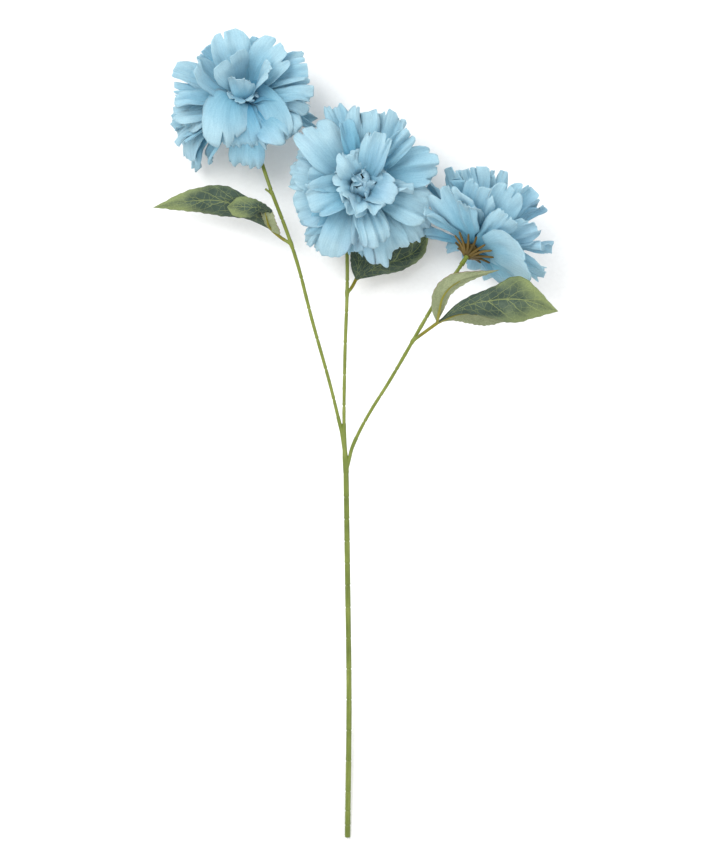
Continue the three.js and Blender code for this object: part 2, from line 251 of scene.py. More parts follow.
def tube(line, radius, sides, flutes=()):
    """A grid round a line. radius is a function of the distances along it; flutes are ridges."""
    _, side, top = frames_along(line)
    along = distances(line)
    turn = np.linspace(0, 2 * math.pi, sides, endpoint=False)
    r = radius(along)[:, None] * np.ones(sides)
    for count, depth, phase in flutes:
        r = r + depth * np.cos(count * turn + phase)
    points = (
        line[:, None]
        + side[:, None] * (r * np.cos(turn))[..., None]
        + top[:, None] * (r * np.sin(turn))[..., None]
    )
    uv = np.stack(np.broadcast_arrays(turn / (2 * math.pi), along[:, None] / 100), axis=-1)
    return points, uv


def rounded(line, points, uv, sheet, tone, mark=0):
    """Adds a tube to a sheet with closed ends."""
    first = np.broadcast_to(line[0], points[0].shape)
    last = np.broadcast_to(line[-1], points[0].shape)
    sheet.grid(
        np.concatenate([first[None], points, last[None]]),
        np.concatenate([uv[:1], uv, uv[-1:]]),
        tone,
        mark,
        wrap=True,
    )


# ---------------------------------------------------------------- materials


class Look:
    """A material being made. Most methods add a node and give back its output."""

    def __init__(self, name):
        self.made = bpy.data.materials.new(name)
        self.made.use_nodes = True
        self.nodes = self.made.node_tree.nodes
        self.link = self.made.node_tree.links.new
        self.shader = self.nodes["Principled BSDF"]
        self.place = self.nodes.new("ShaderNodeTexCoord").outputs["Object"]

    def feed(self, socket, value):
        if isinstance(value, (int, float, tuple)):
            socket.default_value = value
        else:
            self.link(value, socket)

    def shade(self, inputs):
        for name, value in inputs.items():
            self.feed(self.shader.inputs[name], value)

    def surface(self):
        """The UV map, and its two parts: across the piece and along it."""
        uv = self.nodes.new("ShaderNodeUVMap")
        uv.uv_map = "surface"
        split = self.nodes.new("ShaderNodeSeparateXYZ")
        self.link(uv.outputs[0], split.inputs[0])
        return uv.outputs[0], split.outputs[0], split.outputs[1]

    # The tone attribute holds a piece's own tone. It also holds painted shade on petals that lie in shadow
    # and inside the stem's bore.
    def tone(self):
        node = self.nodes.new("ShaderNodeAttribute")
        node.attribute_name = "tone"
        return node.outputs["Fac"]

    def ramp(self, factor, stops):
        node = self.nodes.new("ShaderNodeValToRGB")
        elements = node.color_ramp.elements
        while len(elements) < len(stops):
            elements.new(0.5)
        for element, (place, colour) in zip(elements, stops):
            element.position = place
            element.color = colour
        self.link(factor, node.inputs[0])
        return node.outputs[0]

    def maths(self, operation, *inputs, clamp=False):
        node = self.nodes.new("ShaderNodeMath")
        node.operation = operation
        node.use_clamp = clamp
        for socket, value in zip(node.inputs, inputs):
            self.feed(socket, value)
        return node.outputs[0]

    def blend(self, kind, factor, a, b):
        node = self.nodes.new("ShaderNodeMix")
        node.data_type = "RGBA"
        node.blend_type = kind
        for number, value in ((0, factor), (6, a), (7, b)):
            self.feed(node.inputs[number], value)
        return node.outputs[2]

    def noise(self, vector, scale, detail=3.0, stretch=(1, 1, 1)):
        mapping = self.nodes.new("ShaderNodeMapping")
        mapping.inputs["Scale"].default_value = stretch
        self.link(vector, mapping.inputs["Vector"])
        node = self.nodes.new("ShaderNodeTexNoise")
        node.inputs["Scale"].default_value = scale
        node.inputs["Detail"].default_value = detail
        self.link(mapping.outputs[0], node.inputs["Vector"])
        return node.outputs[0]

    def bump(self, height, strength, distance):
        node = self.nodes.new("ShaderNodeBump")
        node.inputs["Strength"].default_value = strength
        node.inputs["Distance"].default_value = distance
        self.link(height, node.inputs["Height"])
        self.link(node.outputs[0], self.shader.inputs["Normal"])
        return node.outputs[0]

    def let_light_through(self, share, colour, normal=None):
        glow = self.nodes.new("ShaderNodeBsdfTranslucent")
        self.link(colour, glow.inputs["Color"])
        if normal is not None:
            self.link(normal, glow.inputs["Normal"])
        both = self.nodes.new("ShaderNodeMixShader")
        both.inputs[0].default_value = share
        self.link(self.shader.outputs[0], both.inputs[1])
        self.link(glow.outputs[0], both.inputs[2])
        self.link(both.outputs[0], self.nodes["Material Output"].inputs["Surface"])


def petal_material():
    """Printed polyester: deeper at the base, paler at the edge, with fine creases fanning from the base. The
    deepest blue at the base is partly painted shade for the hollows among the petals.
    """
    look = Look("petal_fabric")
    uv, _, along = look.surface()
    wander = look.maths("MULTIPLY_ADD", look.noise(look.place, 38, 3), 0.36, -0.18)
    toned = look.maths("ADD", along, wander)
    depth_and_shade = look.maths("ADD", toned, look.tone(), clamp=True)
    # Deep blue at the base to pale at the edge. This is partly the fabric's own print and partly painted
    # shade: the darkest stops stand in for the shade deep among the petals, and the tone adds each petal's
    # painted shade.
    body = look.ramp(
        depth_and_shade,
        [
            (0.0, srgb(34, 112, 148)),
            (0.2, srgb(80, 155, 187)),
            (0.48, srgb(134, 191, 212)),
            (0.78, srgb(168, 210, 225)),
            (1.0, srgb(190, 222, 232)),
        ],
    )

    streaks = look.noise(uv, 6, 4, (5.5, 0.7, 1))
    fine = look.noise(uv, 16, 3, (7, 0.6, 1))
    vein = look.maths("MULTIPLY_ADD", streaks, 0.7, -0.12)
    vein = look.maths("MULTIPLY_ADD", fine, 0.35, vein)
    pale = srgb(255, 255, 255)
    veined = look.ramp(vein, [(0.3, srgb(168, 200, 214)), (0.52, srgb(246, 250, 252)), (0.7, pale)])
    coloured = look.blend("MULTIPLY", 0.26, body, veined)
    speckled = look.ramp(look.noise(look.place, 900, 2), [(0.35, srgb(214, 226, 232)), (0.6, pale)])
    coloured = look.blend("MULTIPLY", 0.3, coloured, speckled)
    violet = look.maths("MULTIPLY_ADD", look.noise(look.place, 22, 2), 2.2, -1.15, clamp=True)
    violet = look.maths("MULTIPLY", violet, 0.3)
    coloured = look.blend("MIX", violet, coloured, srgb(128, 170, 216))
    look.shade({"Base Color": coloured, "Roughness": 0.78, "Specular IOR Level": 0.25})
    look.shade({"Sheen Weight": 0.18, "Sheen Roughness": 0.5})

    weave = look.nodes.new("ShaderNodeTexWave")
    weave.inputs["Scale"].default_value = 420
    weave.inputs["Distortion"].default_value = 2.5
    weave.inputs["Detail"].default_value = 1
    look.link(look.place, weave.inputs["Vector"])
    height = look.maths("MULTIPLY", weave.outputs["Fac"], 0.08)
    height = look.maths("MULTIPLY_ADD", vein, 0.5, height)
    normal = look.bump(height, 0.55, 0.0006)
    look.let_light_through(0.3, coloured, normal)
    return look.made


def leaf_veins(look, spread, along):
    """Pale veins: the midrib, side veins that sweep forward from it, and a fine web between them."""
    warp = look.maths("MULTIPLY_ADD", look.noise(look.place, 55, 3), 0.14, -0.07)
    course = look.maths("SUBTRACT", along, look.maths("MULTIPLY", spread, 0.26))
    course = look.maths("MULTIPLY", look.maths("ADD", course, warp), 7.0)
    side_vein = look.maths("LESS_THAN", look.maths("PINGPONG", course, 0.5), 0.03)
    middle = look.maths("LESS_THAN", spread, 0.024)
    web = look.nodes.new("ShaderNodeTexVoronoi")
    web.feature = "DISTANCE_TO_EDGE"
    web.inputs["Scale"].default_value = 150
    look.link(look.place, web.inputs["Vector"])
    webbed = look.maths("MULTIPLY", look.maths("LESS_THAN", web.outputs["Distance"], 0.03), 0.45)
    veins = look.maths("MAXIMUM", look.maths("MAXIMUM", side_vein, middle), webbed)
    fade = look.maths("MULTIPLY_ADD", spread, -0.8, 1.15, clamp=True)
    return look.maths("MULTIPLY", veins, fade)


def leaf_material(name, underside=False):
    """Printed leaf fabric: grey green with pale veins and a paler margin, or its pale plain back."""
    look = Look(name)
    _, across, along = look.surface()
    spread = look.maths("ABSOLUTE", across)
    cloud = look.noise(look.place, 60, 4)
    grain = look.noise(look.place, 1100, 2)
    veins = leaf_veins(look, spread, along)
    if underside:
        ground = look.ramp(cloud, [(0.3, srgb(138, 148, 112)), (0.7, srgb(158, 166, 130))])
        coloured = look.blend("MIX", look.maths("MULTIPLY", veins, 0.25), ground, srgb(140, 148, 88))
    else:
        greens = [(0.3, srgb(54, 72, 62)), (0.55, srgb(72, 90, 76)), (0.75, srgb(92, 108, 90))]
        dark = look.ramp(cloud, greens)
        margin = look.maths("MULTIPLY_ADD", look.maths("FRACT", along), 1.3, -0.92)
        margin = look.maths("MULTIPLY_ADD", spread, 0.55, margin)
        margin = look.maths("MULTIPLY_ADD", cloud, 0.6, margin)
        paler = look.ramp(margin, [(0.38, (0, 0, 0, 1)), (0.85, (1, 1, 1, 1))])
        ground = look.blend("MIX", paler, dark, srgb(134, 148, 98))
        coloured = look.blend("MIX", look.maths("MULTIPLY", veins, 0.62), ground, srgb(158, 170, 104))
    grained = look.ramp(grain, [(0.35, srgb(205, 205, 205)), (0.6, srgb(255, 255, 255))])
    coloured = look.blend("MULTIPLY", 0.5, coloured, grained)
    look.shade({"Base Color": coloured, "Roughness": 0.7, "Specular IOR Level": 0.3})
    look.bump(look.maths("MULTIPLY_ADD", grain, 0.3, veins), 0.5, 0.0004)
    look.let_light_through(0.12, coloured)
    return look.made


def plastic_material(name, dark, mid, light, roughness):
    """Moulded or coated plastic: lengthwise streaks, a faint grain and uneven gloss."""
    look = Look(name)
    uv = look.surface()[0]
    lines = look.noise(uv, 3, 3, (5, 1.4, 1))
    cloud = look.noise(look.place, 70, 3)
    grain = look.noise(look.place, 700, 2)
    factor = look.maths("MULTIPLY_ADD", cloud, 0.5, look.maths("MULTIPLY", lines, 0.5))
    factor = look.maths("ADD", factor, look.tone())
    body = look.ramp(factor, [(0.3, dark), (0.5, mid), (0.72, light)])
    gloss = look.maths("MULTIPLY_ADD", grain, 0.18, roughness - 0.09)
    look.shade({"Base Color": body, "Roughness": gloss, "Specular IOR Level": 0.4})
    look.bump(look.maths("MULTIPLY_ADD", grain, 0.25, look.maths("MULTIPLY", lines, 0.7)), 0.4, 0.0004)
    return look.made


def steel_material():
    look = Look("drawn_steel")
    lines = look.noise(look.place, 260, 3, (1, 0.05, 1))
    body = look.ramp(lines, [(0.3, srgb(120, 121, 122)), (0.7, srgb(176, 177, 178))])
    look.shade({"Base Color": body, "Metallic": 1, "Roughness": look.maths("MULTIPLY_ADD", lines, 0.3, 0.2)})
    return look.made


PETAL = petal_material()
LEAF_TOP = leaf_material("leaf_fabric_top")
LEAF_BACK = leaf_material("leaf_fabric_back", underside=True)
LEAF_EDGE = plastic_material("leaf_cut_edge", srgb(96, 52, 44), srgb(126, 70, 56), srgb(140, 92, 66), 0.7)
STEM = plastic_material("stem_coating", srgb(78, 92, 26), srgb(102, 116, 42), srgb(128, 138, 64), 0.42)
BRANCH = plastic_material("branch_coating", srgb(88, 100, 28), srgb(112, 124, 46), srgb(140, 148, 76), 0.42)
RIB = plastic_material("rib_plastic", srgb(92, 88, 14), srgb(116, 112, 24), srgb(140, 138, 48), 0.45)
CALYX = plastic_material("calyx_plastic", srgb(62, 50, 8), srgb(88, 70, 16), srgb(118, 94, 30), 0.5)
STEEL = steel_material()


# ---------------------------------------------------------------- flowers

HUB_FLAT = 6.0
HUB_BEND = 14.0
JOIN = 12.0  # the petals of a layer are one disc out to here

LAYERS = [
    dict(petals=7, length=60, width=17, splay=79, tip=104),
    dict(petals=7, length=61, width=17, splay=70, tip=88),
    dict(petals=6, length=62, width=18, splay=58, tip=68),
    dict(petals=6, length=61, width=17, splay=45, tip=50),
    dict(petals=5, length=57, width=16, splay=30, tip=33),
    dict(petals=5, length=47, width=13, splay=15, tip=18),
]
HEAD_STYLE = {
    "left": dict(openness=1.05, size=0.93, phase=0.3, twist=8),
    "centre": dict(openness=1.0, size=0.92, phase=0.9, twist=-8),
    "right": dict(openness=0.84, size=0.92, phase=0.1, twist=8),
}
# The small petals inside the last layer: a ring closed over the pin, and a ring round it that opens.
HEART = [
    dict(petals=5, length=24, width=11, splay=10, tip=-62),
    dict(petals=5, length=37, width=14, splay=24, tip=58),
]
HEART_SIZE = {"left": 0.42, "centre": 1.0, "right": 0.85}

# Petals that can be told apart. Each has its layer, counted from the stem, then its tip as seen from above:
# the direction from the hub in degrees and the reach in millimetres, and its height above the hub. Then how
# far it leans from the flower's axis where it leaves the disc, half its width, its lobes, the depth of the
# notches between them, its tone, and whatever else sets it apart. The tone is partly the petal's own and
# partly painted shade: the lowest values darken petals that lie in shadow under or behind others.
PETALS = {
    "left": [
        (5, 106, 61, 24, 12, 16, 2, 7, 0.14, dict(hook=1.1, cup=0.012, ruffle=0.7, round=0.22)),
        (6, 109, 38, 40, 8, 15, 2, 7, 0.18,
            dict(ruffle=0.5, cup=-0.004, fine=0.3, round=0.1, edge=0, pleat=0.4)),
        (6, 104, 23, 42, 5, 11, 1, 0, 0.14, dict(ruffle=0.5, round=0.3, twist=-18, cup=0.01, hook=1.2)),
        (4, 82, 55, 8, 30, 8, 1, 0, -0.16, dict(fold=0.7, round=0.6)),
        (5, 58, 55, 28, 25, 16, 3, 7, 0.12, dict(ruffle=1.8, twist=12)),
        (6, 55, 35, 40, 22, 9, 2, 2, 0.16, dict(round=0.2, cup=0.03)),
        (3, 43, 62, 8, 45, 6, 1, 0, 0.05, dict(round=0.4)),
        (4, 28, 56, 22, 45, 10, 3, 6, -0.02, dict(fold=0.3, ruffle=1.8)),
        (5, 15, 56, 24, 55, 11, 3, 7, 0.06, dict(fold=-0.2, ruffle=2.2, twist=20)),
        (4, 0, 52, 16, 60, 10, 3, 3, 0.1, dict(ruffle=2.2, twist=18)),
        (3, -34, 44, 2, 62, 17, 3, 5, -0.12, dict(hook=1.3, ruffle=0.9, cup=-0.012, round=0.12)),
        (2, -17, 55, -8, 80, 8, 2, 10, -0.1, {}),
        (6, -98, 30, 20, 38, 27, 4, 9, 0.14,
            dict(hook=1.3, cup=-0.02, ruffle=0.5, pleat=0.5, round=0.12, twist=0, fine=0.2, edge=0, fan=1.3)),
        (6, -48, 31, 14, 42, 15, 3, 9, 0.06, dict(hook=1.3, cup=-0.02, ruffle=0.6, edge=0)),
        (5, -93, 36, 8, 80, 15, 2, 4, -0.06, dict(hook=1.2, cup=-0.012, ruffle=0.8, round=0.14)),
        (4, -68, 38, 10, 76, 8, 2, 4, 0.05, dict(hook=1.2, ruffle=1.2)),
        (2, -90, 49, -3, 88, 13, 2, 15, -0.05, dict(hook=1.2, ruffle=0.6, round=0.12)),
        (3, 129, 56, 6, 55, 11, 4, 5, -0.16, dict(ruffle=2.2)),
        (5, 143, 54, 30, 55, 13, 2, 2, 0.1, dict(edge=7, twist=-14, ruffle=1.2, round=0.2)),
        (2, 152, 65, 2, 75, 11, 1, 0, 0.12, dict(round=0.3, ruffle=0.8)),
        (3, 168, 60, 4, 70, 9, 4, 4, -0.02, dict(ruffle=1.8)),
        (4, 176, 58, 18, 66, 10, 2, 3, -0.02, dict(ruffle=1.5, fold=0.2)),
        (3, 186, 60, 10, 78, 12, 2, 3, 0.13, dict(ruffle=0.8, round=0.25, cup=-0.006)),
        (1, 195, 62, -10, 80, 8, 2, 5, -0.08, {}),
        (4, 200, 52, 14, 76, 9, 2, 5, 0.03, dict(ruffle=1.2)),
        (3, 213, 54, 4, 72, 8, 2, 6, -0.2, dict(fold=0.6)),
        (2, 220, 66, -14, 78, 14, 4, 4, 0.12, dict(ruffle=1.4, hook=1.2)),
        (2, 207, 64, -6, 80, 7, 2, 4, 0.04, dict(ruffle=1.2)),
        (1, 231, 64, -24, 80, 7, 1, 0, -0.03, dict(round=0.3)),
        (1, 236, 52, -16, 78, 6, 1, 0, -0.03, dict(round=0.3, hook=1.3)),
    ],
    "centre": [
        (4, 130, 63, 14, 40, 18, 3, 5, 0.2, dict(ruffle=0.7, round=0.14, cup=0.006, fine=0.3)),
        (3, 108, 68, 2, 55, 9, 2, 4, -0.02, dict(fold=0.4, ruffle=1.4)),
        (5, 102, 54, 26, 26, 9, 1, 0, -0.26, dict(cup=0.05, round=0.5)),
        (4, 86, 64, 12, 42, 13, 4, 6, 0.1, dict(ruffle=3.0, twist=8)),
        (3, 68, 67, 6, 52, 13, 4, 6, 0.08, dict(ruffle=3.0)),
        (2, 57, 66, -4, 70, 9, 3, 7, 0.06, dict(ruffle=2.4)),
        (6, 68, 47, 36, 14, 11, 3, 5, 0.12, dict(fold=0.5, ruffle=1.6)),
        (5, 46, 60, 28, 32, 8, 2, 12, -0.04, dict(fold=0.5)),
        (4, 17, 66, 18, 48, 16, 4, 5, 0.0, dict(ruffle=2.4, hook=1.1)),
        (5, -1, 44, 28, 45, 8, 1, 0, 0.12, dict(fold=0.5, round=0.4, twist=-30)),
        (4, -17, 60, 14, 52, 16, 3, 3, 0.1, dict(ruffle=1.6, hook=1.2, cup=-0.006, round=0.12)),
        (3, -37, 68, -6, 66, 12, 3, 4, 0.2, dict(ruffle=1.4, hook=1.2)),
        (5, -70, 50, 24, 50, 13, 4, 4, 0.2, dict(pleat=2.0, pleats=5, hook=1.3, cup=-0.006, ruffle=1.2)),
        (6, -31, 26, 34, 16, 11, 2, 2, 0.1, dict(hook=1.5, round=0.3, cup=-0.01)),
        (4, -112, 60, 8, 60, 13, 1, 0, 0.16, dict(ruffle=0.6, round=0.3, hook=1.2, cup=-0.01, fine=0.3)),
        (3, 212, 56, -2, 66, 12, 3, 5, -0.12, dict(ruffle=1.0)),
        (2, 232, 60, -10, 74, 9, 2, 4, 0.1, dict(ruffle=0.8)),
        (6, 198, 42, 30, 30, 16, 3, 2, 0.0, dict(cup=0.045, hook=0.7, ruffle=1.8, edge=5)),
        (6, 114, 31, 36, 4, 14, 2, 2, 0.2, dict(hook=1.5, ruffle=1.6, twist=20, cup=-0.01, round=0.3)),
        (3, 169, 58, 4, 62, 12, 4, 4, 0.16, dict(ruffle=1.6)),
        (5, 170, 42, 26, 42, 9, 2, 3, -0.12, dict(fold=0.3)),
        (3, -66, 62, -4, 64, 17, 4, 4, 0.14, dict(ruffle=2.0, hook=1.2)),
        (2, -92, 50, -8, 76, 8, 2, 4, -0.16, {}),
        (4, -89, 46, 12, 62, 8, 2, 4, 0.06, dict(ruffle=1.4, hook=1.3)),
        (2, -56, 56, -16, 80, 9, 2, 5, -0.1, {}),
        (2, 15, 60, -10, 76, 12, 4, 4, -0.06, {}),
    ],
    "right": [
        (1, 114, 53, 20, 78, 20, 3, 9, 0.06, dict(fold=-0.15, pleat=2.2, pleats=3, ruffle=1.2)),
        (1, 139, 50, 10, 86, 6, 1, 0, 0.02, dict(fold=-0.5, round=0.5)),
        (3, 100, 36, 34, 70, 9, 2, 2, 0.04, dict(round=0.05, ruffle=0.4)),
        (1, 158, 40, -22, 84, 8, 2, 3, -0.2, {}),
        (3, 107, 67, -3, 56, 13, 3, 3, 0.02, dict(ruffle=1.2, round=0.25)),
        (2, 124, 62, -12, 66, 7, 2, 4, -0.12, {}),
        (3, 100, 56, 10, 58, 7, 1, 0, -0.22, dict(fold=0.4, round=0.4)),
        (4, 99, 63, -4, 46, 5, 1, 0, -0.04, dict(round=0.4)),
        (3, 94, 63, 5, 52, 7, 2, 10, 0.0, dict(fold=0.3)),
        (4, 85, 65, 4, 42, 9, 1, 0, 0.04, dict(cup=0.03, round=0.3)),
        (5, 76, 64, -3, 30, 7, 3, 5, -0.02, dict(ruffle=2.0)),
        (5, 68, 66, 2, 30, 7, 1, 0, 0.02, dict(fold=0.5, round=0.6)),
        (2, 84, 48, 32, 66, 14, 4, 5, 0.0, dict(ruffle=1.0, hook=0.8, round=0.08)),
        (2, 56, 57, 22, 54, 14, 3, 7, 0.08, dict(ruffle=1.2, hook=0.9, cup=-0.006)),
        (1, 40, 37, 38, 74, 11, 2, 10, 0.08, dict(ruffle=0.8, hook=0.9, round=0.14)),
        (2, 17, 53, 22, 64, 12, 3, 4, 0.1, dict(ruffle=0.8, hook=1.1, round=0.25)),
        (4, 45, 67, 5, 36, 14, 4, 5, 0.04, dict(ruffle=2.0)),
        (4, 30, 66, 0, 38, 8, 2, 5, -0.1, dict(cup=0.04)),
        (1, -14, 46, 26, 84, 24, 2, 3, 0.2,
            dict(ruffle=0.5, pleat=0.5, round=0.08, cup=0.0, hook=0.6, fine=0.3)),
        (3, 0, 56, 6, 66, 8, 2, 4, 0.08, {}),
        (4, -1, 64, -12, 54, 10, 4, 5, 0.02, dict(ruffle=2.2)),
        (2, -21, 62, -13, 72, 13, 5, 6, 0.04, dict(ruffle=1.6, pleat=1.6)),
        (1, -45, 41, -20, 84, 12, 2, 3, -0.14, dict(ruffle=0.8)),
        (1, 200, 12, -50, 62, 14, None, None, -0.1, {}),
        (3, -70, 22, -48, 60, 12, None, None, -0.1, {}),
        (2, 120, 20, -50, 56, 14, None, None, -0.1, {}),
        (2, -35, 34, -40, 60, 12, None, None, -0.1, {}),
    ],
}


def petal_facts(rng, layer, head):
    """The facts of one petal: its layer's, varied."""
    style = HEAD_STYLE[head]
    return dict(
        length=layer["length"] * style["size"] * rng.uniform(0.88, 1.02),
        width=layer["width"] * rng.uniform(0.86, 1.1),
        splay=layer["splay"] * math.sqrt(style["openness"]) + rng.uniform(-6, 6),
        tip=layer["tip"] * style["openness"] + rng.uniform(-10, 10),
        curl=rng.uniform(-10, 34),
        sway=rng.uniform(-0.14, 0.14),
        twist=style["twist"] + rng.uniform(-9, 9),
        cup=rng.uniform(-0.008, 0.022),
        fold=rng.choice([0, 0, 0, 0.12, 0.25, -0.1]),
        pleats=rng.choice([2, 3, 3, 4]),
        pleat=rng.uniform(0.5, 1.4),
        ruffle=rng.uniform(0.8, 2.2),
        fine=rng.uniform(0.4, 1.0),
        waves=rng.uniform(1.5, 3.1),
        edge=rng.uniform(-3.0, 3.5),
        lobes=rng.choice([2, 3, 3, 4]),
        notch=rng.uniform(2, 9),
        round=rng.uniform(0.1, 0.24),
        tone=rng.uniform(-0.08, 0.08),
        hook=1.0,
        fan=1.42,
        back=rng.uniform(-1.5, 4.5),
        seed=rng.uniform(0, 100),
    )


def own_midline(facts, flat, bend):
    """A petal's midline along its own direction: flat on the disc, up to its splay, then to its tip's."""
    length = facts["length"]
    s = np.linspace(0, length * 1.05, 160)
    theta = mix(90, facts["splay"], smooth(s, flat, bend))
    theta = mix(theta, facts["tip"], smooth(s, length * 0.3, length))
    theta = np.radians(theta + facts["curl"] * smooth(s, length * 0.68, length * 1.02))
    step = s[1] - s[0]
    out = np.concatenate([[0], np.cumsum(np.sin((theta[1:] + theta[:-1]) / 2) * step)])
    up = np.concatenate([[0], np.cumsum(np.cos((theta[1:] + theta[:-1]) / 2) * step)])
    side = facts["sway"] * 0.6 * np.maximum(s - JOIN, 0) ** 1.15
    return s, np.stack([out, side, up], axis=-1)


def led_midline(facts, tip, flat):
    """A midline that leaves the disc at the petal's lean and ends at a point in (out, across, up)."""
    root = np.array([flat, 0.0, 0.0])
    chord = tip - root
    reach = np.linalg.norm(chord)
    heading = unit([max(tip[0], 1.0), tip[1] * 0.8, 0])
    lean = math.radians(facts["splay"])
    leave = math.sin(lean) * heading + math.cos(lean) * np.array([0, 0, 1])
    along = chord / reach
    arrive = unit(mix(along, 2 * along * np.dot(along, leave) - leave, facts["hook"]))
    a, b = root + leave * reach * 0.42, tip - arrive * reach * 0.34
    t = np.array([0.1, 0.22, 0.36, 0.5, 0.64, 0.78, 0.9, 1.0])[:, None]
    bend = (1 - t) ** 3 * root + 3 * t * (1 - t) ** 2 * a + 3 * t**2 * (1 - t) * b + t**3 * tip
    points = curve_through(np.vstack([np.zeros(3), root, bend]), 160)
    s = distances(points)
    facts["length"] = s[-1]
    points = np.vstack([points, points[-1] + (points[-1] - points[-3])])
    return np.append(s, s[-1] + (s[-1] - s[-3])), points


def petal_grid(facts, sector, hole_rows, midline, rows=19, cols=21):
    """One petal on +X: points in (out, across, up), its UVs and its points before it was shaped."""
    rng = random.Random(facts["seed"])
    s, course = midline
    length, width = facts["length"], facts["width"]
    lobes = facts["lobes"]
    cuts = [(-1 + 2 * k / lobes) + rng.uniform(-0.16, 0.16) for k in range(1, lobes)]
    depths = [facts["notch"] * rng.uniform(0.25, 1.0) for _ in cuts]
    us = set(np.round(np.linspace(-1, 1, cols), 3))
    for cut in cuts:
        us |= {round(cut + d, 3) for d in (-0.12, -0.06, -0.028, -0.01, 0.01, 0.028, 0.06, 0.12)}
    us = np.array(sorted(us))

    # The outline: rounded shoulders, slits between round-ended lobes, and a fine wavy edge.
    reach = 1.05 - facts["round"] * np.abs(us) ** 2.2 - 0.26 * np.abs(us) ** 7
    outline = length * reach
    for cut, depth in zip(cuts, depths):
        outline = outline - depth * np.exp(-(((us - cut) / 0.04) ** 2))
        outline = outline - 3.2 * np.exp(-np.abs(us - cut) / 0.11)
    outline += 0.5 * np.sin(us * 12 + facts["seed"]) + 0.22 * np.sin(us * 27 + 2 * facts["seed"])

    inner = np.array(hole_rows, float)
    share = np.linspace(0, 1, rows + 1)[1:] ** 0.92
    r = np.vstack(
        [np.repeat(inner[:, None], len(us), axis=1), inner[-1] + share[:, None] * (outline - inner[-1])[None]]
    )
    grown = np.clip(r / length, 0, 1)
    wide = width * facts["fan"] * (0.55 * (1 - (1 - grown) ** 1.8) + 0.45 * grown)
    free = smooth(r, JOIN, JOIN + 9) if inner[-1] >= JOIN else smooth(r, inner[-1], inner[-1] + 4)
    angle = mix(sector, np.arcsin(np.clip(wide / np.maximum(r, 1), -0.95, 0.95)), free)
    x = r * np.sin(us * angle)
    y = r * np.cos(us * angle)

    tangent = np.gradient(course, axis=0)
    tangent /= np.linalg.norm(tangent, axis=1)[:, None]
    side = np.array([0.0, 1.0, 0.0])
    sides = []
    for t in tangent:
        side = unit(side - t * np.dot(side, t))
        sides.append(side)
    sides = np.array(sides)
    normals = np.cross(tangent, sides)

    def at(values):
        return np.stack([np.interp(y, s, values[:, k]) for k in range(3)], axis=-1)

    u = us[None] * np.ones_like(r)
    t = r / length
    loose = smooth(r, inner[-1], inner[-1] + 12)
    lift = facts["pleat"] * smooth(t, 0.2, 0.5) * (
        np.cos(math.pi * facts["pleats"] * u + facts["seed"]) * 0.8
        + 0.16 * np.cos(math.pi * (facts["pleats"] * 2 + 1) * u + facts["seed"] * 3)
    )
    wave = np.sin(math.pi * facts["waves"] * u + facts["seed"] * 5)
    lift += 1.8 * facts["ruffle"] * smooth(t, 0.5, 1.0) * wave
    crimp = np.sin(math.pi * (facts["waves"] * 2.3 + 1.5) * u + facts["seed"] * 11)
    lift += 1.6 * facts["fine"] * smooth(t, 0.78, 1.0) * crimp
    flutter = np.sin(t * 17 + facts["seed"] * 7 + np.sign(u))
    lift += 0.6 * facts["ruffle"] * smooth(np.abs(u), 0.55, 1) * smooth(t, 0.3, 0.7) * flutter
    lift += facts["edge"] * np.abs(u) ** 3.5 * smooth(t, 0.3, 0.9)
    lift += facts["fold"] * np.abs(x) * smooth(t, 0.2, 0.6)
    for k in range(lobes):
        low = -1 if k == 0 else cuts[k - 1]
        high = 1 if k == lobes - 1 else cuts[k]
        inside = ((u >= low) & (u < high)).astype(float)
        tilt = rng.uniform(-1.4, 1.4)
        roll = rng.uniform(-3.0, 4.5)
        local = np.clip((u - (low + high) / 2) / ((high - low) / 2), -1, 1)
        lift += inside * smooth(t, 0.62, 1.0) * (tilt * (1 - local**2) + roll * (1 - local**2) * 0.5)
    flat_points = zip(x.ravel(), y.ravel())
    rough = [noise.noise(Vector((float(a) * 0.06, float(b) * 0.045, facts["seed"]))) for a, b in flat_points]
    lift += 3.0 * np.array(rough).reshape(x.shape) * smooth(t, 0.25, 0.7)
    lift -= facts["back"] * smooth(t, 0.72, 1.02) ** 2
    lift *= loose

    # Cup and twist the cross-section.
    cup = facts["cup"] * smooth(t, 0.15, 0.6) + 1e-6
    bent_x = np.sin(cup * x) / cup
    bent_n = (1 - np.cos(cup * x)) / cup * loose + lift
    roll = np.radians(facts["twist"]) * smooth(r, JOIN, 34)
    across = bent_x * np.cos(roll) - bent_n * np.sin(roll)
    normal = bent_x * np.sin(roll) + bent_n * np.cos(roll)
    points = at(course) + at(sides) * across[..., None] + at(normals) * normal[..., None]
    uv = np.stack([u * 0.5 + 0.5 + facts["seed"], t], axis=-1)

    return points, uv, np.stack([y, x, 0 * x], axis=-1)


def sheet_area(grid):
    """The area of a grid of points."""
    d1, d2 = grid[1:, 1:] - grid[:-1, :-1], grid[1:, :-1] - grid[:-1, 1:]
    return 0.5 * np.linalg.norm(np.cross(d1, d2), axis=-1).sum()


def turned(points, azimuth, height=0):
    """Points in (out, across, up) turned about the flower's axis."""
    c, s = math.cos(azimuth), math.sin(azimuth)
    out, across, up = points[..., 0], points[..., 1], points[..., 2]
    return np.stack([out * c - across * s, out * s + across * c, up + height], axis=-1)


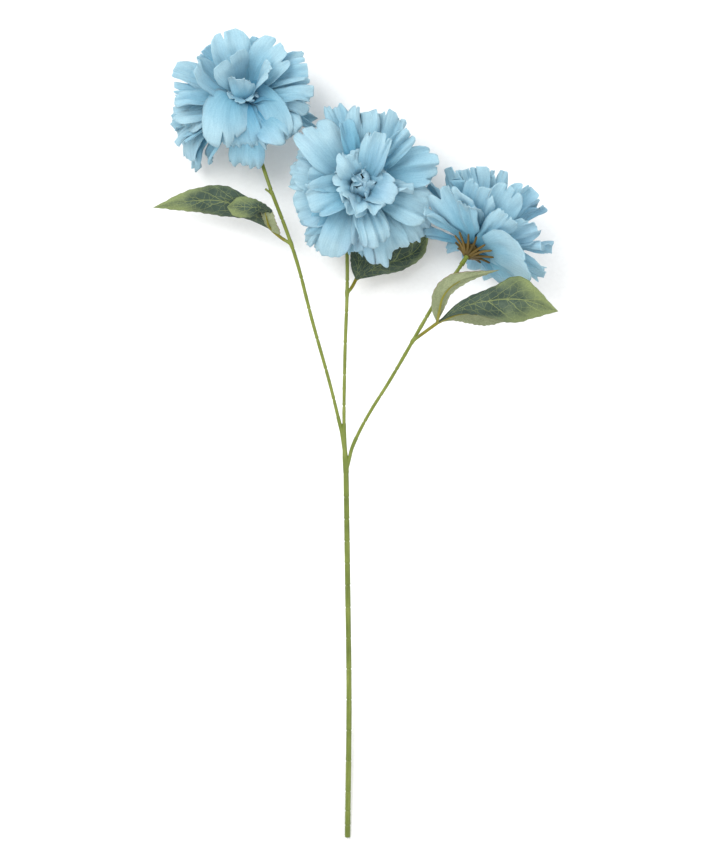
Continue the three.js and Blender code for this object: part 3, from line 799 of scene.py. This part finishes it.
def seat_petals(head, number):
    """Shares out a layer's slots: the layer's phase, and the tip and facts of each slot that is filled."""
    axes = hubs[head][1]
    count = LAYERS[number]["petals"]
    height = number * LAYER_PITCH + LAYER_LIFT
    known = []
    for layer, direction, reach, rise, lean, half, lobes, notch, tone, rest in PETALS[head]:
        if layer != number + 1:
            continue
        turn = math.radians(direction)
        tip = axes @ np.array([reach * math.cos(turn), reach * math.sin(turn), rise]) - [0, 0, height]
        own = dict(rest, splay=lean, width=half, tone=tone)
        if lobes:
            own.update(lobes=lobes, notch=notch)
        known.append((math.atan2(tip[1], tip[0]), tip, own))
    best = None
    for step in range(60):
        phase = 2 * math.pi / count * step / 60 + HEAD_STYLE[head]["phase"]
        free, seats, cost = set(range(count)), {}, 0
        for azimuth, tip, facts in known:
            ahead = azimuth - phase + math.pi
            gap = lambda i: abs((ahead - 2 * math.pi * i / count) % (2 * math.pi) - math.pi)
            slot = min(free, key=gap)
            free.remove(slot)
            seats[slot] = (tip, facts)
            cost += gap(slot) ** 2
        if best is None or cost < best[0] - 1e-9:
            best = (cost, phase, seats)
    return best[1], best[2]


def petal_layer(head, number):
    hub, axes = hubs[head]
    layer = LAYERS[number]
    sheet = Sheet()
    height = number * LAYER_PITCH + LAYER_LIFT
    hole_rows = [LAYER_HOLE, 5, 7, 9, 10.5, JOIN]
    count = layer["petals"]
    flat = []
    phase, seats = seat_petals(head, number)
    for i in range(count):
        facts = petal_facts(random.Random(f"{head} {number} {i}"), layer, head)
        azimuth = phase + 2 * math.pi * i / count
        if i in seats:
            tip, own = seats[i]
            facts.update(edge=facts["edge"] * 0.4, fold=0, twist=0)
            facts.update(own)
            midline = led_midline(facts, turned(tip, -azimuth), HUB_FLAT)
        else:
            midline = own_midline(facts, HUB_FLAT, HUB_BEND)
        points, uv, cut = petal_grid(facts, math.pi / count, hole_rows, midline)
        sheet.grid(turned(points, azimuth, height) @ axes + hub, uv, facts["tone"])
        flat.append(turned(cut, azimuth).reshape(-1, 3))
    if number == len(LAYERS) - 1:
        for ring, heart in enumerate(HEART):
            for i in range(heart["petals"]):
                rng = random.Random(f"{head} heart {ring} {i}")
                facts = petal_facts(rng, heart, head)
                facts.update(
                    length=heart["length"] * HEART_SIZE[head] * rng.uniform(0.75, 1.15),
                    splay=heart["splay"] + rng.uniform(-8, 14),
                    tip=heart["tip"] + rng.uniform(-26, 20),
                    curl=rng.uniform(-20, 40),
                    cup=rng.uniform(0.0, 0.06),
                    twist=rng.uniform(-25, 25),
                    notch=rng.uniform(0.5, 2.5),
                    ruffle=rng.uniform(0.4, 1.0),
                    fine=0.3,
                    tone=rng.uniform(-0.02, 0.12),
                )
                midline = own_midline(facts, 3.4, 7)
                share = math.pi / heart["petals"]
                points, uv, cut = petal_grid(facts, share, [4.2, 5, 6], midline, rows=14, cols=13)
                azimuth = 2 * share * (i + 0.5 * ring + rng.uniform(-0.2, 0.2))
                seated = turned(points, azimuth, height + 1.3 - 0.5 * ring)
                sheet.grid(seated @ axes + hub, uv, facts["tone"])
    piece = sheet.build(f"petal_layer_{head}_{number + 1}", [PETAL])
    thicken(piece, 0.3)
    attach(piece, ROOT)
    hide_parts(f"petals_{head}_{number + 1}")
    size = np.ptp(np.vstack(flat), axis=0) * MM
    if number == len(LAYERS) - 1:  # its two small cuts lie beside it in the cloth
        size[0] += 1.6 * sum(heart["length"] for heart in HEART) * HEART_SIZE[head] * MM


# ---------------------------------------------------------------- calyx and pin


def calyx(head):
    hub, axes = hubs[head]
    sheet = Sheet()
    neck_profile = [(2.0, -20), (2.1, -19.4), (1.85, -15), (1.95, -11.5), (3.0, -9)]
    cup_profile = [(5.2, -6.2), (7.2, -4.2), (7.6, -3.3), (7.1, -2.7), (4, -3.6), (2.9, -4)]
    profile = curve_through([(r, 0, z) for r, z in neck_profile + cup_profile], 60)
    sides = 48
    turn = np.linspace(0, 2 * math.pi, sides, endpoint=False)
    r, z = profile[:, None, 0], profile[:, None, 2]
    points = np.stack([r * np.cos(turn), r * np.sin(turn), z * np.ones(sides)], axis=-1)
    uv = np.stack(np.broadcast_arrays(turn / 6.3, z / 30), axis=-1)
    neck = int(np.argmax(profile[:, 2] > -11.5))
    sheet.grid(points[: neck + 1] @ axes + hub, uv[: neck + 1], 0.0, 1, wrap=True)
    sheet.grid(points[neck:] @ axes + hub, uv[neck:], 0.0, wrap=True)
    top = np.stack([np.zeros((1, sides)), np.zeros((1, sides)), np.full((1, sides), -4.0)], axis=-1)
    top_uv = np.concatenate([uv[-1:], uv[-1:]])
    sheet.grid(np.concatenate([points[-1:], top]) @ axes + hub, top_uv, 0.0, wrap=True)
    bottom = np.stack([1.5 * np.cos(turn), 1.5 * np.sin(turn), np.full(sides, -20.0)], axis=-1)[None]
    bottom_uv = np.concatenate([uv[:1], uv[:1]])
    sheet.grid(np.concatenate([bottom, points[:1]]) @ axes + hub, bottom_uv, 0.0, wrap=True)
    rng = random.Random("calyx" + head)
    count = 13
    for i in range(count):
        reach = rng.uniform(16, 20)
        spin = 2 * math.pi * i / count + rng.uniform(-0.07, 0.07)
        elbow = (11.5, rng.uniform(-0.6, 0.6), -3.4)
        tip = (reach, rng.uniform(-1.4, 1.4), -0.5)
        line = curve_through([(2.2, 0, -10.2), (6.5, 0, -6.6), elbow, tip], 20)
        line = turned(line, spin, 0) @ axes + hub
        shape = lambda d: np.interp(d / d[-1], [0, 0.3, 0.75, 0.93, 1], [1.5, 1.25, 0.95, 0.95, 0.35])
        pts, uvs = tube(line, shape, 10)
        rounded(line, pts, uvs, sheet, rng.uniform(-0.08, 0.08))
    piece = sheet.build(f"calyx_star_{head}", [CALYX, BRANCH], join=0.005)
    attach(piece, ROOT)
    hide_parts(f"calyx_{head}")


def dress(node, dressing):
    """Gives a carried-over CAD node its material."""
    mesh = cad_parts[node].data
    mesh.materials.clear()
    mesh.materials.append(dressing)


# ---------------------------------------------------------------- stems

RING_PLACES = [10, 22, 38] + [63 + 25.3 * k for k in range(6)] + [207.6 + 18.1 * k for k in range(5)]


def stem_piece():
    line = core_line("stem_wire", 1.05)
    first, last = unit(line[0] - line[1]), unit(line[-1] - line[-2])
    line = np.vstack([line[0] + first * 0.4, line[1:-1], line[-1] + last * 1.5])
    line = curve_through(line, 900)
    rng = random.Random("stem")

    def radius(d):
        r = 2.12 + 0.05 * np.sin(d / 31) + 0.03 * np.sin(d / 7.3)
        for place in RING_PLACES:
            depth = rng.uniform(0.34, 0.5)
            r = r - depth * np.exp(-(((d - place) / 0.42) ** 2))
            r = r + 0.12 * np.exp(-(((d - place - 1.3) / 0.7) ** 2))
        return np.where(d < 0.5, r - 0.3 * (1 - d / 0.5), r)

    points, uv = tube(line, radius, 28, [(2, 0.07, 0.4), (6, 0.035, 0)])
    sheet = Sheet()
    sheet.grid(points, uv, 0.0, wrap=True)
    inner, _ = tube(line, lambda d: np.full_like(d, 1.4), 28)
    for end in (0, -1):
        ring = np.stack([points[end], inner[end]])
        sheet.grid(ring if end else ring[::-1], np.stack([uv[end], uv[end]]), 0.0, wrap=True)
    # The first stretch of the bore is drawn darker (tone -0.2): painted shade inside the open end of the
    # sleeve.
    inside = np.stack([inner[0], inner[0] + (line[40] - line[0])])
    sheet.grid(inside, np.stack([uv[0], uv[0]]), -0.2, wrap=True)
    piece = sheet.build("stem_skin", [STEM])
    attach(piece, ROOT)
    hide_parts("main_stem")


def skin(name, parts, node, dressing, voxel=0.0):
    """Tubes joined into one piece; with a voxel size, their joints are filleted."""
    sheet = Sheet()
    for line, radius, sides, flutes, tone in parts:
        pts, uv = tube(line, radius, sides, flutes)
        rounded(line, pts, uv, sheet, tone)
    piece = sheet.build(name, [dressing], join=0)
    if voxel:
        remesh = piece.modifiers.new("fillet", "REMESH")
        remesh.mode = "VOXEL"
        remesh.voxel_size = voxel * MM
        relax = piece.modifiers.new("relax", "SMOOTH")
        relax.iterations = 6
        relax.factor = 0.5
    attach(piece, ROOT)
    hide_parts(node)
    return piece


def build_stems():
    lines = {name: curve_through(core_line(f"wire_{name}", 0.55), 600) for name in HEADS}
    along = {name: distances(line) for name, line in lines.items()}

    def part_of(name, start, end):
        d = along[name]
        keep = (d >= start) & (d <= (end if end > 0 else d[-1] + end))
        return lines[name][keep]

    fork = []
    centre_start = lines["centre"][0] - unit(lines["centre"][5] - lines["centre"][0]) * 4.2
    trunk = np.vstack([centre_start, part_of("centre", 0, 36.4)])
    trunk = curve_through(trunk[:: max(1, len(trunk) // 12)], 60)
    girth = lambda d: np.interp(d, [0, 0.8, 12, 20, 38], [2.35, 2.35, 2.3, 1.8, 1.62])
    fork.append((trunk, girth, 24, [(2, 0.05, 0)], 0.0))
    for name, low, reach in (("left", 19, 12.6), ("right", 2, 16.6)):
        arm = part_of(name, 0, reach)
        root = trunk[low] + unit(arm[0] - trunk[low + 8]) * 0.9
        rooted = curve_through(np.vstack([root, arm[:: max(1, len(arm) // 5)], arm[-1]]), 40)
        sleeve = lambda d: np.interp(d / d[-1], [0, 0.6, 0.9, 1], [1.5, 1.5, 1.6, 1.6])
        fork.append((rooted, sleeve, 20, [], 0.0))
    skin("stem_junction", fork, "stem_fork", STEM, voxel=0.2)

    for name, reach in (("centre", 34.4), ("left", 10.8), ("right", 14.8)):
        body = part_of(name, reach, -2.3)
        rng = random.Random("branch" + name)
        knots = [rng.uniform(0, 1) for _ in range(5)]

        def radius(d, knots=knots):
            r = mix(1.3, 1.52, d / d[-1])
            for k in knots:
                r = r + 0.1 * np.exp(-(((d / d[-1] - k) * d[-1] / 1.6) ** 2))
            for place in np.arange(16, d[-1] - 8, 25.5):
                r = r - 0.42 * np.exp(-(((d - place) / 0.5) ** 2))
                r = r + 0.16 * np.exp(-(((d - place - 1.5) / 0.8) ** 2))
            return r + 0.03 * np.sin(d / 4.1)

        parts = [(body, radius, 22, [(2, 0.09, 0.6), (5, 0.03, 0)], 0.0)]
        stalk = stalk_line(name)
        node = stalk[0]
        swell = lambda d: np.interp(d / d[-1], [0, 0.5, 1], [1.7, 1.35, 1.3])
        parts.append((stalk[:14], swell, 16, [], 0.0))
        near = np.argmin(np.linalg.norm(body - node, axis=1))
        collar = body[max(0, near - 9) : near + 10]
        parts.append((collar, lambda d: 1.45 + 0.4 * np.sin(math.pi * d / d[-1]), 20, [], 0.02))
        if name == "left":
            foot = lines["left"][np.argmin(np.abs(lines["left"][:, 1] - (209 + SHIFT[1])))]
            bud = curve_through(foot + np.array([(0, 0, 0), (-3.2, 3.2, 0.7), (-6.6, 6, 1.4)]), 16)
            stub = lambda d: np.interp(d / d[-1], [0, 0.6, 0.9, 1], [1.1, 0.8, 1.0, 0.7])
            parts.append((bud, stub, 14, [], 0.0))
        skin(f"branch_skin_{name}", parts, f"branch_{name}", BRANCH, voxel=0.28)
    for node in ("stem_wire", "wire_left", "wire_centre", "wire_right"):
        dress(node, STEEL)
    for name in HEADS:
        dress(f"head_pin_{name}", CALYX)


# ---------------------------------------------------------------- leaves

# Each lobe is a left edge, a midrib and a right edge, in the part's drawing.
SPRIGS = {
    "left": dict(
        node=170,
        petiole=[(-52.5, 174.8, 33), (-60, 181, 34.2)],
        lobes=[
            (
                [(-60, 181, 36), (-80, 190, 35), (-101, 193, 33), (-122, 196, 31), (-158, 200, 27)],
                [(-60, 181, 36), (-78, 196, 38), (-102, 205, 39), (-128, 205, 36), (-158, 200, 27)],
                [(-60, 181, 36), (-76, 204, 39), (-98, 217, 40), (-125, 215, 36), (-158, 200, 27)],
            ),
            (
                [
                    (-62, 182, 35.4), (-65, 189, 36), (-69, 195.5, 43), (-79, 191.5, 51),
                    (-91, 192.5, 49), (-97, 200, 44),
                ],
                [
                    (-62, 182, 35.4), (-62.5, 190, 36), (-66, 198, 46), (-78, 199.5, 56),
                    (-89, 200, 53), (-97, 200, 44),
                ],
                [
                    (-62, 182, 35.4), (-59, 189, 36), (-61, 198, 44), (-74, 206, 53),
                    (-87, 208, 48), (-97, 200, 44),
                ],
            ),
            (
                [(-61, 180.5, 36.2), (-66, 186, 38), (-69, 193.5, 41), (-71, 200, 41), (-72, 205, 38)],
                [(-61, 180.5, 36.2), (-63, 186, 40), (-65, 193, 43.5), (-68, 200, 42), (-72, 205, 38)],
                [(-61, 180.5, 36.2), (-54, 178, 38), (-57.5, 189, 43), (-61, 198, 42), (-72, 205, 38)],
            ),
        ],
    ),
    "centre": dict(
        node=130,
        petiole=[(4.2, 134, 27), (8, 141, 23.2)],
        lobes=[
            (
                [(8, 141, 25), (24, 162, 25), (36, 172, 23), (48, 182, 20), (70, 190, 12)],
                [(8, 141, 25), (28, 153, 24), (45, 158, 20), (58, 166, 16), (70, 190, 12)],
                [(8, 141, 25), (28, 145, 22), (46, 149, 18), (63, 161, 13), (70, 190, 12)],
            ),
            (
                [(8, 141, 25), (4.5, 150, 24), (3.5, 163, 22), (3.5, 178, 18), (8, 196, 12)],
                [(8, 141, 25), (10, 154, 25), (9.5, 168, 22), (9, 182, 17), (8, 196, 12)],
                [(8, 141, 25), (17, 152, 24), (19, 168, 21), (16, 184, 17), (8, 196, 12)],
            ),
            (
                [(8, 141, 25), (13, 156, 25), (19, 172, 22), (29, 186, 17), (44, 194, 11)],
                [(8, 141, 25), (18, 157, 25), (26, 170, 22), (35, 181, 17), (44, 194, 11)],
                [(8, 141, 25), (24, 155, 24), (36, 166, 21), (43, 178, 17), (44, 194, 11)],
            ),
        ],
    ),
    "right": dict(
        node=90.6,
        petiole=[(63, 97, 60), (74, 105, 64.2)],
        lobes=[
            (
                [(74, 105, 66), (92, 122, 72), (117, 133.5, 79), (141, 142.5, 84), (172.5, 114.5, 72)],
                [(74, 105, 66), (95, 118, 74), (116, 123, 80), (142, 124, 82), (172.5, 114.5, 72)],
                [(74, 105, 66), (90, 112, 70), (112, 111, 73), (134, 105.5, 72), (172.5, 114.5, 72)],
            ),
            (
                [(74, 105, 66), (69.5, 117, 75), (72, 133, 83), (85, 144, 86), (124.5, 148, 80)],
                [(74, 105, 66), (76.5, 118, 77), (80, 129, 82), (92, 139, 84), (124.5, 148, 80)],
                [(74, 105, 66), (80, 117, 76), (85.5, 128, 80), (97, 137, 81), (124.5, 148, 80)],
            ),
            (
                [(74, 105, 66), (88, 117, 64), (103, 118, 60), (116, 113, 55), (130, 106.5, 50)],
                [(74, 105, 66), (88, 111.5, 64), (101, 113, 60), (115, 109.5, 55), (130, 106.5, 50)],
                [(74, 105, 66), (86, 107, 62), (99, 105, 57), (114, 103, 53), (130, 106.5, 50)],
            ),
        ],
    ),
}
UNDER_UP = {("left", 2), ("right", 1), ("right", 2)}  # lobes turned to show their backs


def lobe_rails(sprig, number, rows=44):
    return [curve_through(placed(rail), rows) for rail in SPRIGS[sprig]["lobes"][number]]


def under_point(sprig, number, share):
    """A point on the back side of a lobe's midrib, where its moulded rib runs."""
    left, mid, right = lobe_rails(sprig, number)
    i = int(share * (len(mid) - 1))
    tangent = mid[min(i + 1, len(mid) - 1)] - mid[max(i - 1, 0)]
    across = right[max(i, 8)] - left[max(i, 8)]
    normal = unit(np.cross(across, tangent))
    if (sprig, number) in UNDER_UP:
        normal = -normal if normal[2] > 0 else normal
        return mid[i] - normal * 1.0
    normal = normal if normal[2] > 0 else -normal
    return mid[i] - normal * 0.9


def stalk_line(sprig):
    facts = SPRIGS[sprig]
    core = curve_through(core_line(f"wire_{sprig}", 0.55), 600)
    node = core[np.argmin(np.abs(core[:, 1] - (facts["node"] + SHIFT[1])))]
    return curve_through([node, *placed(facts["petiole"])], 40)


def leaf(sprig):
    rng = random.Random("leaf" + sprig)
    sheet = Sheet()
    area = 0
    cols = 25
    u = np.linspace(-1, 1, cols)
    for number in range(3):
        left, mid, right = lobe_rails(sprig, number, 60)
        rows = len(mid)
        t = np.linspace(0, 1, rows)
        # A quadratic through the three rails, with a crease along the midrib.
        weight_l = np.clip(-u, 0, 1)[None, :, None]
        weight_r = np.clip(u, 0, 1)[None, :, None]
        flat = mid[:, None] * (1 - weight_l - weight_r)
        flat = flat + left[:, None] * weight_l + right[:, None] * weight_r
        across = right - left
        tangent = np.gradient(mid, axis=0)
        normal = np.cross(across, tangent)
        normal /= np.maximum(np.linalg.norm(normal, axis=1), 1e-9)[:, None]
        normal[:6] = normal[6]
        normal[-6:] = normal[-7]
        face = -1 if (sprig, number) in UNDER_UP else 1
        if normal[rows // 2][2] < 0:
            normal = -normal
        normal = normal * face
        half = np.linalg.norm(across, axis=1) / 2
        bulge = half[:, None] * 0.16 * (1 - (2 * np.abs(u) - 1) ** 2)
        down = t[:, None]
        wave = np.sin(down * rng.uniform(13, 19) + np.sign(u) * 1.3 + rng.uniform(0, 6))
        wave = 0.9 * smooth(np.abs(u), 0.3, 1) * wave
        veins = 0.22 * np.cos((down - 0.26 * np.abs(u)) * 14 * math.pi) * smooth(np.abs(u), 0, 0.2)
        veins = veins * (1 - smooth(np.abs(u), 0.75, 1))
        lift = bulge + wave * smooth(down, 0.1, 0.4) * (half[:, None] / 14) + veins
        lift = lift * smooth(down, 0, 0.2) * (1 - smooth(down, 0.85, 1))
        points = flat + normal[:, None] * lift[..., None]
        # A slightly uneven cut edge.
        jag = (0.25 * np.sin(t * 90 + number) + 0.2 * np.sin(t * 47))[:, None]
        jag = jag * np.sign(u) * smooth(np.abs(u), 0.85, 1)
        jag = jag * smooth(down, 0.1, 0.3) * (1 - smooth(down, 0.9, 1))
        points += unit(across[rows // 2]) * jag[..., None]
        uv = np.stack(np.broadcast_arrays(u[None], down + number), axis=-1)
        # Quads face the leaf's own top side.
        at = points[rows // 2, cols // 2]
        facing = np.cross(points[rows // 2, cols // 2 + 1] - at, points[rows // 2 + 1, cols // 2] - at)
        if np.dot(facing, normal[rows // 2]) < 0:
            points, uv = points[:, ::-1], uv[:, ::-1]
        sheet.grid(points, uv, 0.0)
        area += sheet_area(points)
    piece = sheet.build(f"leaf_blade_{sprig}", [LEAF_TOP, LEAF_BACK, LEAF_EDGE], join=0.02)
    thicken(piece, 0.35, back=1, rim=2)
    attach(piece, ROOT)
    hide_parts(f"leaf_{sprig}")
    # Laid flat the blade would fill about half of the rectangle round it.
    area *= MM * MM
    long_side = max(distances(lobe_rails(sprig, number)[1])[-1] for number in range(3)) * MM
    flat = (area / (0.5 * long_side), long_side)


def leaf_ribs(sprig):
    stalk = stalk_line(sprig)
    parts = [(stalk[11:], lambda d: mix(1.3, 1.35, d / d[-1]), 16, [(2, 0.1, 0)], 0.05)]
    for number in range(3):
        points = [stalk[-1]] + [under_point(sprig, number, share) for share in (0.2, 0.34, 0.48, 0.6)]
        line = curve_through(points, 40)
        thin = lambda d: np.interp(d / d[-1], [0, 0.35, 1], [1.35, 1.05, 0.4])
        parts.append((line, thin, 14, [], 0.0))
    skin(f"leaf_ribs_{sprig}", parts, f"leaf_rib_{sprig}", RIB, voxel=0.28)


# ---------------------------------------------------------------- build the object

for head_name in HEADS:
    for layer_number in range(len(LAYERS)):
        petal_layer(head_name, layer_number)
    calyx(head_name)
stem_piece()
build_stems()
for sprig_name in SPRIGS:
    leaf_ribs(sprig_name)
    leaf(sprig_name)


# ---------------------------------------------------------------- table, light and camera

FRAME_HEIGHT = 0.7075  # of the view, at the object's middle height
FRAME_CENTRE = placed((6.9, 15.7, 30)) * MM
CAMERA_REACH = 7.0


def build_stage():
    mesh = bpy.data.meshes.new("table")
    mesh.from_pydata([(-4, -4, 0), (4, -4, 0), (4, 4, 0), (-4, 4, 0)], [], [(0, 1, 2, 3)])
    look = Look("table_white")
    grain = look.noise(look.place, 300, 2)
    white = look.ramp(grain, [(0.3, srgb(246, 246, 246)), (0.7, srgb(250, 250, 250))])
    look.shade({"Base Color": white, "Roughness": 0.8})
    mesh.materials.append(look.made)
    table = bpy.data.objects.new("table", mesh)
    bpy.context.scene.collection.objects.link(table)


def lamp(name, place, size, power, aim):
    light = bpy.data.lights.new(name, "AREA")
    light.shape = "DISK"
    light.size = size
    light.energy = power
    thing = bpy.data.objects.new(name, light)
    thing.location = place
    thing.rotation_euler = (Vector(aim) - Vector(place)).to_track_quat("-Z", "Y").to_euler()
    bpy.context.scene.collection.objects.link(thing)


def build_view():
    aim = tuple(FRAME_CENTRE)
    lamp("key", (-0.9, 1.0, 1.9), 1.3, 30, aim)
    lamp("fill", (1.3, -0.2, 1.7), 1.6, 9, aim)
    world = bpy.data.worlds.new("studio")
    bpy.context.scene.world = world
    world.use_nodes = True
    world.node_tree.nodes["Background"].inputs[0].default_value = (1, 1, 1, 1)
    world.node_tree.nodes["Background"].inputs[1].default_value = 1.0
    camera = bpy.data.cameras.new("camera")
    camera.sensor_fit = "VERTICAL"
    camera.sensor_height = 24
    camera.lens = 24 * CAMERA_REACH / FRAME_HEIGHT
    camera.clip_end = 20
    thing = bpy.data.objects.new("camera", camera)
    thing.location = (aim[0], aim[1], aim[2] + CAMERA_REACH)
    bpy.context.scene.collection.objects.link(thing)
    bpy.context.scene.camera = thing
    bpy.context.scene.view_settings.view_transform = "Standard"


build_stage()
build_view()
